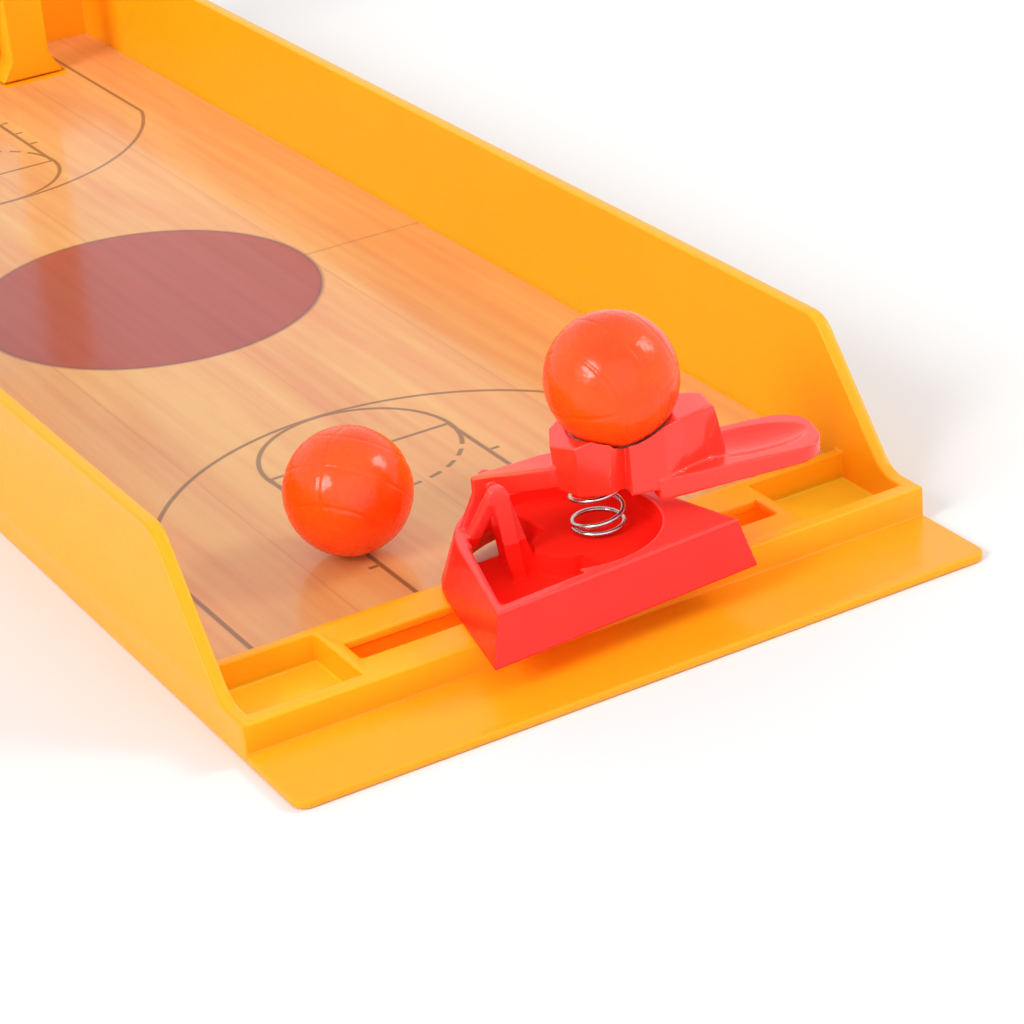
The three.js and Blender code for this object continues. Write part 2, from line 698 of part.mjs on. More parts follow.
// Plan of the tab: straight sides with rounded corners at the tip
function tabPlan(inset) {
  const half = lever.tabHalf - inset;
  const corner = lever.tabCorner - inset;
  const tip = lever.tabTip - inset;
  const plan = new THREE.Shape();
  plan.moveTo(lever.tabStart + inset, -half);
  plan.lineTo(tip - corner, -half);
  plan.absarc(tip - corner, -half + corner, corner, -Math.PI / 2, 0);
  plan.absarc(tip - corner, half - corner, corner, 0, Math.PI / 2);
  plan.lineTo(lever.tabStart + inset, half);
  return plan;
}

function dishTool(inset) {
  const scale = (length) => length + inset;
  const tool = new THREE.SphereGeometry(1, rounding.ball, rounding.small);
  tool.scale(scale(lever.dishLength), scale(lever.dishHalf), scale(lever.dishHeight));
  return tool.translate(lever.dishX, 0, lever.tabZ + lever.tabRise - lever.dishDepth + lever.dishHeight);
}

// Thumb tab: a dished top over an open underside with one cross rib
function buildTab() {
  const slant = sidePrism(polygon([
    [lever.tabStart, lever.skirtBottom],
    [lever.tabTip, lever.skirtBottom + lever.skirtRise],
    [lever.tabTip, lever.tabZ + lever.tabRise],
    [lever.tabStart, lever.tabZ],
  ]), -lever.tabHalf, lever.tabHalf);
  const outside = common(prism(tabPlan(0), lever.skirtBottom - overrun, lever.hubTop), slant);
  const ceiling = lever.tabZ - lever.skin;
  const hollow = cut(prism(tabPlan(lever.skin), lever.skirtBottom - overrun, ceiling), dishTool(lever.skin));
  const ribEnd = lever.ribX + lever.skin;
  const across = [-lever.tabHalf, lever.tabHalf];
  const ribBlock = block([lever.ribX, ribEnd], across, [lever.skirtBottom, lever.tabZ]);
  const rib = common(ribBlock, slant);
  return cut(join(cut(outside, hollow), rib), dishTool(0));
}

// Body under the cup, and the horn that rises behind the ball
function buildHorn() {
  const profile = polygon([
    [lever.cupX, lever.bodyBottom],
    [lever.hornFootX, lever.bodyBottom],
    [lever.hornFootX, lever.hornFootZ - lever.skin],
    [lever.hornBackX, lever.hornZ - lever.skin / 2],
    [lever.hornBackX - lever.skin / 2, lever.hornZ],
    [lever.hornTopX, lever.hornZ],
    [lever.cupX, lever.rimZ],
  ]);
  const halfPlan = [
    [0, lever.bodyHalf],
    [lever.tabStart + lever.skin, lever.bodyHalf],
    [lever.hornWaistX, lever.hornWaistHalf],
    [lever.hornTopX, lever.hornHalf + lever.skin],
    [lever.hornBackX, lever.hornHalf],
    [lever.hornFootX, lever.hornHalf / 2],
  ];
  const plan = polygon([...halfPlan.map(([u, w]) => [u, -w]), ...halfPlan.reverse()]);
  const side = sidePrism(profile, -lever.bodyHalf, lever.bodyHalf);
  return common(side, prism(plan, lever.bodyBottom, lever.hornZ + overrun));
}

function buildLever() {
  const hub = post(0, 0, lever.hubBottom, lever.rimZ, lever.hubFoot, lever.hubRadius, lever.hubSides);
  hub.rotateZ(radians(lever.hubTurnDegrees));
  const solid = join(...buildHingePlate(), hub, buildHorn(), buildTab());
  const seat = new THREE.SphereGeometry(ball.radius + lever.seatGap, rounding.ball, rounding.ball / 2);
  seat.rotateX(Math.PI / 2).translate(lever.cupX, 0, lever.ballZ);
  const bore = post(0, 0, lever.bodyBottom - overrun, lever.boreTop, lever.boreRadius);
  const shoulder = sidePrism(polygon([
    [-lever.hubRadius - overrun, lever.hubTop],
    [-lever.hubRadius, lever.hubTop],
    [lever.rimX, lever.rimZ],
    [lever.rimX, lever.rimZ + overrun],
    [-lever.hubRadius - overrun, lever.rimZ + overrun],
  ]), -lever.hubRadius - overrun, lever.hubRadius + overrun);
  return part('lever', cut(solid, seat, bore, shoulder), redPlastic);
}

function buildBall(name) {
  const geometry = new THREE.SphereGeometry(ball.radius, rounding.ball, rounding.ball / 2);
  return part(name, geometry.rotateX(Math.PI / 2), ballPlastic);
}

const game = new THREE.Group();
game.position.y = -tray.length / 2;
game.add(buildTray(), buildCourtPrint(), buildStand(), buildPanel(), buildPanelPrint(), buildHoop());
[-1, 1].forEach((side) => game.add(buildHoopScrew(side), buildStandScrew(side)));

const courtBall = buildBall('ball_court');
courtBall.position.set(court.ballX, court.ballY, printTop + ball.radius + clearance);
game.add(courtBall);

const launcher = new THREE.Group();
launcher.position.set(slider.x, slot.centreY, 0);
launcher.rotation.z = radians(base.yawDegrees);
launcher.add(buildBush(), buildWasher(), buildPivotScrew(), buildBase());

const leverGroup = new THREE.Group();
leverGroup.position.x = lever.offsetX;
leverGroup.rotation.z = radians(lever.yawDegrees);
const cupBall = buildBall('ball_cup');
cupBall.position.set(lever.cupX, 0, lever.ballZ);
leverGroup.add(buildSpring(), buildLever(), cupBall);
launcher.add(leverGroup);
game.add(launcher);

export default game;
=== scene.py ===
import bpy
import json
import math
from mathutils import Vector, Matrix

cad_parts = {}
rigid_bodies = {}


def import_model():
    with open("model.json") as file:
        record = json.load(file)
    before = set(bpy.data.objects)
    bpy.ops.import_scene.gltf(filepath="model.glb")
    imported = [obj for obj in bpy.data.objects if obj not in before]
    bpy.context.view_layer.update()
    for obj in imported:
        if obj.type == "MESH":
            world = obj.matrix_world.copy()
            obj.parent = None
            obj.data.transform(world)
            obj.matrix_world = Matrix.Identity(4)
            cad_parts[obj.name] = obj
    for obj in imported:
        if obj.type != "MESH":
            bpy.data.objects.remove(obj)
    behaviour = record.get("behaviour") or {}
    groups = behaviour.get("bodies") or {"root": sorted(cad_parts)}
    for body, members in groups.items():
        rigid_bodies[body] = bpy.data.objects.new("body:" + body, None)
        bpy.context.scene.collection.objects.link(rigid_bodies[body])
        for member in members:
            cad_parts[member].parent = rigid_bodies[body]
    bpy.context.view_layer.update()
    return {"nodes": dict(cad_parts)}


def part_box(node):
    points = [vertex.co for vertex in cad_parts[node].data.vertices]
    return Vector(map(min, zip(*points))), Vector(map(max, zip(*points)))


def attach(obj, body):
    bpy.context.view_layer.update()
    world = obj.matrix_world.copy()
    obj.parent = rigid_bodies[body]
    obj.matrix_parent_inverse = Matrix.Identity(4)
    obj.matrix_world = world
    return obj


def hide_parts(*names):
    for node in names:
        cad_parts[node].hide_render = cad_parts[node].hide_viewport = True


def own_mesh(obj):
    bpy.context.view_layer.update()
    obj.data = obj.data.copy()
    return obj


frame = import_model()
mm = 0.001
rowShift = -184.0  # the rows below count y from the apron's front edge
mergeWithin = 0.000002


def row(x, y, z):
    return Vector((x * mm, (y + rowShift) * mm, z * mm))


# camera at the photo's angle
photoView = {
    "place": (-0.21679523, -0.54977574, 0.24008677), "turn": (63.71023968, 4.80675137, -30.22261152),
    "lens": 110.584, "sensor": 36, "nearest": 0.01,
}
bpy.ops.object.camera_add(location=photoView["place"])
camera = bpy.context.object
camera.rotation_euler = [math.radians(angle) for angle in photoView["turn"]]
camera.data.lens = photoView["lens"]
camera.data.sensor_width = photoView["sensor"]
camera.data.clip_start = photoView["nearest"]
bpy.context.scene.camera = camera


# small helpers for picking and shaping
def pickOnly(piece):
    bpy.ops.object.select_all(action="DESELECT")
    piece.select_set(True)
    bpy.context.view_layer.objects.active = piece


def applyAll(piece):
    pickOnly(piece)
    for modifier in list(piece.modifiers):
        bpy.ops.object.modifier_apply(modifier=modifier.name)


def settle(piece):
    pickOnly(piece)
    bpy.ops.object.transform_apply(location=True, rotation=True, scale=True)


def mergedCopy(name, node):
    pickOnly(frame["nodes"][node])
    bpy.ops.object.duplicate()
    piece = bpy.context.object
    piece.name = name
    piece.data.name = name
    bpy.ops.mesh.customdata_custom_splitnormals_clear()
    bpy.ops.object.mode_set(mode="EDIT")
    bpy.ops.mesh.select_all(action="SELECT")
    bpy.ops.mesh.remove_doubles(threshold=mergeWithin)
    bpy.ops.mesh.normals_make_consistent(inside=False)
    bpy.ops.mesh.mark_sharp(clear=True)
    bpy.ops.object.mode_set(mode="OBJECT")
    return piece


def finishPiece(piece, body, material):
    piece.data.materials.clear()
    piece.data.materials.append(material)
    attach(piece, body)


# materials
noiseLow, noiseHigh = 0.3, 0.7  # most values of a noise texture lie between these
cloudDetail, grainDetail = 2.0, 3.0
black = (0.0, 0.0, 0.0)


def newMaterial(name):
    material = bpy.data.materials.new(name)
    material.use_nodes = True
    nodes = material.node_tree.nodes
    return material, nodes, material.node_tree.links, nodes["Principled BSDF"]


def setShader(shader, values):
    for key, value in values.items():
        shader.inputs[key].default_value = value


def noiseOn(nodes, links, coords, scale, detail=grainDetail):
    noise = nodes.new("ShaderNodeTexNoise")
    noise.inputs["Scale"].default_value = scale
    noise.inputs["Detail"].default_value = detail
    links.new(coords.outputs["Object"], noise.inputs["Vector"])
    return noise.outputs["Fac"]


def spread(nodes, links, source, low, high):
    ramp = nodes.new("ShaderNodeMapRange")
    ramp.inputs["From Min"].default_value = noiseLow
    ramp.inputs["From Max"].default_value = noiseHigh
    ramp.inputs["To Min"].default_value = low
    ramp.inputs["To Max"].default_value = high
    links.new(source, ramp.inputs["Value"])
    return ramp.outputs["Result"]


def mixColour(nodes, links, factor, a, b):
    node = nodes.new("ShaderNodeMix")
    node.data_type = "RGBA"
    colours = [socket for socket in node.inputs if socket.type == "RGBA"]
    for socket, value in ((node.inputs[0], factor), (colours[0], a), (colours[1], b)):
        if isinstance(value, tuple):
            socket.default_value = (*value, 1)
        else:
            links.new(value, socket)
    return [socket for socket in node.outputs if socket.type == "RGBA"][0]


def plastic(name, look):
    material, nodes, links, shader = newMaterial(name)
    setShader(shader, look["shader"])
    coords = nodes.new("ShaderNodeTexCoord")
    tone = spread(nodes, links, noiseOn(nodes, links, coords, look["cloudScale"], cloudDetail), 0.0, 1.0)
    links.new(mixColour(nodes, links, tone, look["colour"], look["colourDeep"]), shader.inputs["Base Color"])
    grain = noiseOn(nodes, links, coords, look["grainScale"])
    links.new(spread(nodes, links, grain, *look["roughness"]), shader.inputs["Roughness"])
    bump = nodes.new("ShaderNodeBump")
    bump.inputs["Strength"].default_value = look["bump"]
    bump.inputs["Distance"].default_value = look["bumpDistance"] * mm
    links.new(grain, bump.inputs["Height"])
    links.new(bump.outputs["Normal"], shader.inputs["Normal"])
    links.new(bump.outputs["Normal"], shader.inputs["Coat Normal"])
    return material


trayLook = {
    "colour": (1.0, 0.425, 0.008), "colourDeep": (1.0, 0.395, 0.005), "cloudScale": 18,
    "grainScale": 420, "roughness": (0.30, 0.38), "bump": 0.25, "bumpDistance": 0.06,
    "shader": {
        "Subsurface Weight": 0.3, "Subsurface Radius": (1.0, 0.40, 0.03), "Subsurface Scale": 0.0022,
        "Coat Weight": 0.1, "Coat Roughness": 0.25, "Specular IOR Level": 0.22,
    },
    # painted shade: the deep colour on apron, outer wall and low on the rail's front
    "deep": (1.0, 0.32, 0.008), "apron": 17.2, "outerWall": -62.8, "apronShadeShare": 0.55,
    "railFront": 17.4, "railWithin": 0.5, "railTop": 6.7, "railFall": 5.2, "railShadeShare": 0.9,
    # painted glow: emission colours for slot and pockets
    "slotY": 28.0, "slotHalf": 6.4, "slotEnd": 41.0, "slotTop": 4.9, "slotGlow": (0.62, 0.030, 0.0),
    "pocketX": 51.05, "pocketHalfX": 9.8, "pocketY": 28.7, "pocketHalfY": 8.4,
    "pocketFloor": 1.9, "pocketGlow": (0.04, 0.11, 0.006),
}
baseLook = {
    "colour": (0.97, 0.021, 0.011), "colourDeep": (0.94, 0.015, 0.008), "cloudScale": 60,
    "grainScale": 300, "roughness": (0.30, 0.40), "bump": 0.25, "bumpDistance": 0.06,
    "shader": {
        "Subsurface Weight": 0.15, "Subsurface Radius": (1.0, 0.10, 0.06), "Subsurface Scale": 0.002,
        "Coat Roughness": 0.12,
    },
    # painted sheen: the paler colour of the top
    "topSheenColour": (0.95, 0.055, 0.045), "topSheenShare": 0.8,
    "coat": 0.35, "specular": 0.2, "axis": (0.6, 28.0), "wellRadius": 16.3, "wellTop": 15.4,
}
leverLook = {
    "colour": (0.98, 0.040, 0.020), "colourDeep": (0.96, 0.032, 0.016), "cloudScale": 60,
    "grainScale": 300, "roughness": (0.14, 0.22), "bump": 0.35, "bumpDistance": 0.09,
    "shader": {
        "Subsurface Weight": 0.15, "Subsurface Radius": (1.0, 0.10, 0.06), "Subsurface Scale": 0.002,
        "Coat Weight": 0.35, "Coat Roughness": 0.10, "Specular IOR Level": 0.4,
    },
    # painted reflection: the orange on the hinge plate's top
    "plateReflectionColour": (1.0, 0.11, 0.022), "plateEnd": 2.0, "plateFade": 12.0, "plateLow": 25.4,
}
ballLook = {
    "colour": (1.0, 0.088, 0.004), "colourDeep": (1.0, 0.058, 0.002), "cloudScale": 90,
    "grainScale": 900, "roughness": (0.24, 0.32), "bump": 0.5, "bumpDistance": 0.14,
    "shader": {
        "Subsurface Weight": 0.3, "Subsurface Radius": (1.0, 0.30, 0.08), "Subsurface Scale": 0.003,
        "Coat Weight": 0.3, "Coat Roughness": 0.12, "Specular IOR Level": 0.18,
    },
}
boardLook = {
    "colour": (0.83, 0.82, 0.79), "colourDeep": (0.80, 0.79, 0.75), "cloudScale": 30,
    "grainScale": 500, "roughness": (0.32, 0.42), "bump": 0.2, "bumpDistance": 0.05, "shader": {},
}
steelLook = {
    "colour": (0.58, 0.58, 0.60), "colourDeep": (0.48, 0.48, 0.50), "cloudScale": 400,
    "grainScale": 1400, "roughness": (0.16, 0.30), "bump": 0.2, "bumpDistance": 0.03,
    "shader": {"Metallic": 1.0},
}
ballOrange = plastic("ballOrange", ballLook)
boardWhite = plastic("boardWhite", boardLook)
hoopRed = plastic("hoopRed", leverLook)
brightSteel = plastic("brightSteel", steelLook)


# shader arithmetic on Object coordinates, lengths in mm
class Sheet:
    lineSoft = 0.15

    def __init__(self, nodes, links):
        self.nodes = nodes
        self.links = links
        self.coords = nodes.new("ShaderNodeTexCoord")
        split = nodes.new("ShaderNodeSeparateXYZ")
        links.new(self.coords.outputs["Object"], split.inputs["Vector"])
        self.x = self.calc("DIVIDE", split.outputs["X"], mm)
        self.y = self.less(self.calc("DIVIDE", split.outputs["Y"], mm), rowShift)
        self.z = self.calc("DIVIDE", split.outputs["Z"], mm)

    def calc(self, operation, *values):
        node = self.nodes.new("ShaderNodeMath")
        node.operation = operation
        for i, value in enumerate(values):
            if isinstance(value, (int, float)):
                node.inputs[i].default_value = value
            else:
                self.links.new(value, node.inputs[i])
        return node.outputs[0]

    def less(self, a, b):
        return self.calc("SUBTRACT", a, b)

    def apart(self, a, b):
        return self.calc("ABSOLUTE", self.less(a, b))

    def isUnder(self, a, b):
        return self.calc("LESS_THAN", a, b)

    def isOver(self, a, b):
        return self.calc("GREATER_THAN", a, b)

    def clamped(self, a):
        return self.calc("MINIMUM", self.calc("MAXIMUM", a, 0.0), 1.0)

    def length(self, a, b):
        squares = self.calc("ADD", self.calc("MULTIPLY", a, a), self.calc("MULTIPLY", b, b))
        return self.calc("SQRT", squares)

    def line(self, distance, halfWidth, soft=lineSoft):
        away = self.calc("ABSOLUTE", distance)
        return self.clamped(self.calc("DIVIDE", self.less(halfWidth + soft, away), 2 * soft))

    def either(self, *masks):
        total = masks[0]
        for mask in masks[1:]:
            total = self.calc("MAXIMUM", total, mask)
        return total

    def both(self, *masks):
        total = masks[0]
        for mask in masks[1:]:
            total = self.calc("MULTIPLY", total, mask)
        return total

    def scaled(self, a, share):
        return self.calc("MULTIPLY", a, share)

    def mix(self, factor, a, b):
        return mixColour(self.nodes, self.links, factor, a, b)

    def spread(self, source, low, high):
        return spread(self.nodes, self.links, source, low, high)

    def stretchedNoise(self, scale, detail, distortion=0.0):
        stretch = self.nodes.new("ShaderNodeMapping")
        stretch.inputs["Scale"].default_value = scale
        self.links.new(self.coords.outputs["Object"], stretch.inputs["Vector"])
        noise = self.nodes.new("ShaderNodeTexNoise")
        self.links.new(stretch.outputs["Vector"], noise.inputs["Vector"])
        noise.inputs["Scale"].default_value = 1
        noise.inputs["Detail"].default_value = detail
        noise.inputs["Distortion"].default_value = distortion
        return noise.outputs["Fac"]


def placedPlastic(name, look):
    material = plastic(name, look)
    nodes = material.node_tree.nodes
    return material, nodes["Principled BSDF"], Sheet(nodes, material.node_tree.links)


def retint(sheet, shader, share, colour):
    plain = shader.inputs["Base Color"].links[0].from_socket
    sheet.links.new(sheet.mix(share, plain, colour), shader.inputs["Base Color"])


# tray: painted shade as a deeper colour on apron, outer wall and low on the rail's front; slot and
# pockets get a painted glow (emission) in place of the light that comes through the thin plastic
def trayMaterial():
    look = trayLook
    material, shader, sheet = placedPlastic("trayYellow", look)
    ahead = sheet.isUnder(sheet.y, look["apron"])
    outer = sheet.isUnder(sheet.x, look["outerWall"])
    low = sheet.clamped(sheet.calc("DIVIDE", sheet.less(look["railTop"], sheet.z), look["railFall"]))
    onRail = sheet.line(sheet.less(sheet.y, look["railFront"]), look["railWithin"])
    # painted shade: deeper colour on apron, outer wall and low on the rail's front
    share = sheet.either(
        sheet.scaled(sheet.either(ahead, outer), look["apronShadeShare"]),
        sheet.scaled(sheet.both(onRail, low), look["railShadeShare"]),
    )
    retint(sheet, shader, share, look["deep"])
    ax = sheet.calc("ABSOLUTE", sheet.x)
    inSlot = sheet.both(
        sheet.isUnder(sheet.apart(sheet.y, look["slotY"]), look["slotHalf"]),
        sheet.isUnder(ax, look["slotEnd"]),
        sheet.isUnder(sheet.z, look["slotTop"]),
    )
    inPocket = sheet.both(
        sheet.isUnder(sheet.apart(ax, look["pocketX"]), look["pocketHalfX"]),
        sheet.isUnder(sheet.apart(sheet.y, look["pocketY"]), look["pocketHalfY"]),
        sheet.isUnder(sheet.z, look["pocketFloor"]),
    )
    # painted glow: emission in slot and pockets in place of the light through the thin plastic
    glow = sheet.mix(inSlot, sheet.mix(inPocket, black, look["pocketGlow"]), look["slotGlow"])
    sheet.links.new(glow, shader.inputs["Emission Color"])
    setShader(shader, {"Emission Strength": 1.0})
    return material


# base: glossy outside, dull where the well is shaded, with a painted sheen that makes the top paler
def baseMaterial():
    look = baseLook
    material, shader, sheet = placedPlastic("baseRed", look)
    x = sheet.less(sheet.x, look["axis"][0])
    y = sheet.less(sheet.y, look["axis"][1])
    outside = sheet.isOver(sheet.length(x, y), look["wellRadius"])
    above = sheet.isOver(sheet.z, look["wellTop"])
    glossy = sheet.either(outside, above)
    # painted sheen: the top is paler, as if it mirrored the white backdrop
    retint(sheet, shader, sheet.scaled(above, look["topSheenShare"]), look["topSheenColour"])
    sheet.links.new(sheet.scaled(glossy, look["coat"]), shader.inputs["Coat Weight"])
    sheet.links.new(sheet.scaled(glossy, look["specular"]), shader.inputs["Specular IOR Level"])
    return material


# lever: painted reflection, the hinge plate's top turns orange away from the hub, as if it mirrored the tray
def leverMaterial():
    look = leverLook
    material, shader, sheet = placedPlastic("leverRed", look)
    # painted reflection: orange on the plate's top, as if it mirrored the tray
    along = sheet.clamped(sheet.calc("DIVIDE", sheet.less(look["plateEnd"], sheet.x), look["plateFade"]))
    onPlate = sheet.both(along, sheet.isOver(sheet.z, look["plateLow"]))
    retint(sheet, shader, onPlate, look["plateReflectionColour"])
    return material


trayYellow = trayMaterial()
baseRed = baseMaterial()
leverRed = leverMaterial()

court = {
    "middleX": -2.3, "middleY": 188.0, "line": 0.45, "halfwayShare": 0.35,
    "arcY": 64.0, "arcRadius": 50.0, "straightHalf": 47.9, "laneHalf": 18.0, "laneEnd": 95.5,
    "circle": 18.2, "dashRate": 24.0, "dashShare": -0.3, "dashedBelow": -0.5,
    "marks": (54.0, 63.0, 72.0, 81.0), "markHalf": 0.9,
    "lineColour": (0.13, 0.05, 0.012), "lineShare": 0.76,
    "discX": 34.7, "discY": 36.9, "discMiddle": (-1.4, 189.5),
    "disc": (0.38, 0.040, 0.022), "discDeep": (0.31, 0.030, 0.020), "discFigure": 0.5,
    "rim": 0.45, "rimSoft": 0.35, "rimColour": (0.14, 0.03, 0.025), "rimShare": 0.7,
    # painted shade: a darker band along the middle of the court
    "shadeX": -5.0, "shadeHalf": 28.0, "shadeSoft": 14.0, "shadeShare": 0.10,
    "shader": {"Coat Weight": 0.55, "Coat Roughness": 0.13, "Specular IOR Level": 0.3},
}
wood = {
    "light": (0.78, 0.425, 0.142), "deep": (0.70, 0.28, 0.098), "roughness": (0.36, 0.46),
    "streakScale": (420, 8, 1), "streakDetail": 6, "streakShare": 0.55,
    "figureScale": (70, 11, 1), "figureDetail": 4, "figureSway": 0.6, "figureShare": 0.95,
    "plank": 31.9, "plankStart": 1.0, "plankShare": 0.3,
    "joint": (0.56, 0.19, 0.08), "jointHalf": 0.18, "jointSoft": 0.25, "jointShare": 0.45,
}


# both halves of the court are alike: y counts from the nearer end
def courtLines(sheet):
    half = court["line"]
    ax = sheet.apart(sheet.x, court["middleX"])
    fromMiddle = sheet.apart(sheet.y, court["middleY"])
    y = sheet.less(court["middleY"], fromMiddle)
    # long arc with straight sides
    past = sheet.calc("MAXIMUM", sheet.less(y, court["arcY"]), 0.0)
    bend = sheet.less(sheet.length(ax, past), court["arcRadius"])
    straight = sheet.less(ax, court["straightHalf"])
    arc = sheet.line(sheet.calc("MAXIMUM", bend, straight), half)
    # lane and its closing line
    beyond = sheet.less(y, court["laneEnd"])
    lane = sheet.line(sheet.calc("MAXIMUM", sheet.less(ax, court["laneHalf"]), beyond), half)
    # circle on the closing line, dashed towards the end of the court
    ring = sheet.line(sheet.less(sheet.length(ax, beyond), court["circle"]), half)
    turn = sheet.calc("ARCTAN2", beyond, ax)
    dash = sheet.isOver(sheet.calc("SINE", sheet.scaled(turn, court["dashRate"])), court["dashShare"])
    unbroken = sheet.isOver(turn, court["dashedBelow"])
    ring = sheet.both(ring, sheet.either(dash, unbroken))
    # short marks outside the lane
    middle = court["laneHalf"] + court["markHalf"] + half
    beside = sheet.line(sheet.less(ax, middle), court["markHalf"])
    marks = [sheet.both(sheet.line(sheet.less(y, markY), half), beside) for markY in court["marks"]]
    halfway = sheet.scaled(sheet.line(fromMiddle, half), court["halfwayShare"])
    return sheet.either(arc, lane, ring, halfway, *marks)


# distance outside the disc's edge, negative inside
def discReach(sheet):
    discX, discY = court["discMiddle"]
    dx = sheet.calc("DIVIDE", sheet.less(sheet.x, discX), court["discX"])
    dy = sheet.calc("DIVIDE", sheet.less(sheet.y, discY), court["discY"])
    return sheet.scaled(sheet.less(sheet.length(dx, dy), 1.0), court["discX"])


# wood: long fine streaks, a slow change of tone, and a new tone for each plank
def woodColour(sheet, streaks):
    across = sheet.calc("DIVIDE", sheet.less(sheet.x, wood["plankStart"]), wood["plank"])
    number = sheet.calc("FLOOR", across)
    tone = sheet.nodes.new("ShaderNodeTexWhiteNoise")
    tone.noise_dimensions = "1D"
    sheet.links.new(number, tone.inputs["W"])
    figure = sheet.stretchedNoise(wood["figureScale"], wood["figureDetail"], wood["figureSway"])
    fine = sheet.scaled(sheet.spread(streaks, -0.5, 0.5), wood["streakShare"])
    broad = sheet.scaled(sheet.spread(figure, -0.5, 0.5), wood["figureShare"])
    each = sheet.scaled(sheet.less(tone.outputs["Value"], 0.5), wood["plankShare"])
    shade = sheet.calc("ADD", sheet.calc("ADD", fine, broad), sheet.calc("ADD", each, 0.5))
    shade = sheet.clamped(shade)
    inPlank = sheet.less(across, number)
    toJoint = sheet.scaled(sheet.calc("MINIMUM", inPlank, sheet.less(1.0, inPlank)), wood["plank"])
    joint = sheet.scaled(sheet.line(toJoint, wood["jointHalf"], wood["jointSoft"]), wood["jointShare"])
    return sheet.mix(joint, sheet.mix(shade, wood["light"], wood["deep"]), wood["joint"]), shade


def courtMaterial():
    material, nodes, links, shader = newMaterial("courtSheet")
    sheet = Sheet(nodes, links)
    streaks = sheet.stretchedNoise(wood["streakScale"], wood["streakDetail"])
    colour, shade = woodColour(sheet, streaks)
    reach = discReach(sheet)
    disc = sheet.isUnder(reach, 0.0)
    printed = sheet.both(courtLines(sheet), sheet.less(1.0, disc))
    colour = sheet.mix(sheet.scaled(printed, court["lineShare"]), colour, court["lineColour"])
    stained = sheet.mix(sheet.scaled(shade, court["discFigure"]), court["disc"], court["discDeep"])
    colour = sheet.mix(disc, colour, stained)
    rim = sheet.scaled(sheet.line(reach, court["rim"], court["rimSoft"]), court["rimShare"])
    colour = sheet.mix(rim, colour, court["rimColour"])
    # painted shade: the middle of the court is a little darker
    shaded = sheet.line(sheet.less(sheet.x, court["shadeX"]), court["shadeHalf"], court["shadeSoft"])
    colour = sheet.mix(sheet.scaled(shaded, court["shadeShare"]), colour, black)
    links.new(colour, shader.inputs["Base Color"])
    links.new(sheet.spread(streaks, *wood["roughness"]), shader.inputs["Roughness"])
    setShader(shader, court["shader"])
    return material


target = {
    "half": 47.0, "low": 89.0, "high": 151.0, "boxHalf": 15.0, "boxLow": 107.0, "boxHigh": 132.0,
    "line": 1.0, "paper": (0.84, 0.83, 0.80), "ink": (0.80, 0.05, 0.03),
    "grainScale": 700, "roughness": (0.34, 0.42),
}


def boardMaterial():
    material, nodes, links, shader = newMaterial("boardSheet")
    sheet = Sheet(nodes, links)
    ax = sheet.calc("ABSOLUTE", sheet.x)

    def outline(half, low, high):
        over = sheet.less(sheet.apart(sheet.z, (low + high) / 2), (high - low) / 2)
        return sheet.line(sheet.calc("MAXIMUM", sheet.less(ax, half), over), target["line"])

    border = outline(target["half"], target["low"], target["high"])
    box = outline(target["boxHalf"], target["boxLow"], target["boxHigh"])
    colour = sheet.mix(sheet.either(border, box), target["paper"], target["ink"])
    links.new(colour, shader.inputs["Base Color"])
    grain = noiseOn(nodes, links, sheet.coords, target["grainScale"])
    links.new(sheet.spread(grain, *target["roughness"]), shader.inputs["Roughness"])
    return material


print("scene: materials ready")

# CAD nodes: finish, and soft edges on those that stay
finishes = {
    "tray": trayYellow, "backboard_stand": trayYellow, "court_print": courtMaterial(),
    "backboard_panel": boardWhite, "backboard_print": boardMaterial(), "hoop_ring": hoopRed,
    "launcher_base": baseRed, "lever": leverRed, "slide_bush": baseRed,
    "ball_cup": ballOrange, "ball_court": ballOrange,
}
softEdges = {"tray": 0.4, "backboard_stand": 0.6, "hoop_ring": 0.3, "backboard_panel": 0.35}
edges = {"smoothUnder": 30, "flatUnder": 1, "bevelOver": 35, "segments": 3}
for name, node in frame["nodes"].items():
    node.data.materials.clear()
    node.data.materials.append(finishes.get(name, brightSteel))
    pickOnly(node)
    bpy.ops.object.shade_smooth_by_angle(angle=math.radians(edges["smoothUnder"]))
    if name in softEdges:
        weld = node.modifiers.new("weld", "WELD")
        weld.merge_threshold = mergeWithin
        flats = node.modifiers.new("flats", "DECIMATE")
        flats.decimate_type = "DISSOLVE"
        flats.angle_limit = math.radians(edges["flatUnder"])
        edge = node.modifiers.new("edge", "BEVEL")
        edge.width = softEdges[name] * mm
        edge.segments = edges["segments"]
        edge.limit_method = "ANGLE"
        edge.angle_limit = math.radians(edges["bevelOver"])
        edge.use_clamp_overlap = False
        edge.harden_normals = True
print("scene: nodes finished")

# balls: two round seams that cross, two smaller ones beside, and a lumpy, pebbled skin
ballShape = {
    "radius": 11.0, "inset": 0.11, "subdivisions": 7,
    "seamWidth": 0.22, "seamDepth": 0.10, "sideSeam": 0.57, "seamSmooth": 0.5, "seamRounds": 2,
    "skin": {"lump": {"size": 4.5, "height": 0.18}, "pebble": {"size": 0.9, "height": 0.04}},
    "skinMiddle": 0.5, "skinDepth": 1,
}


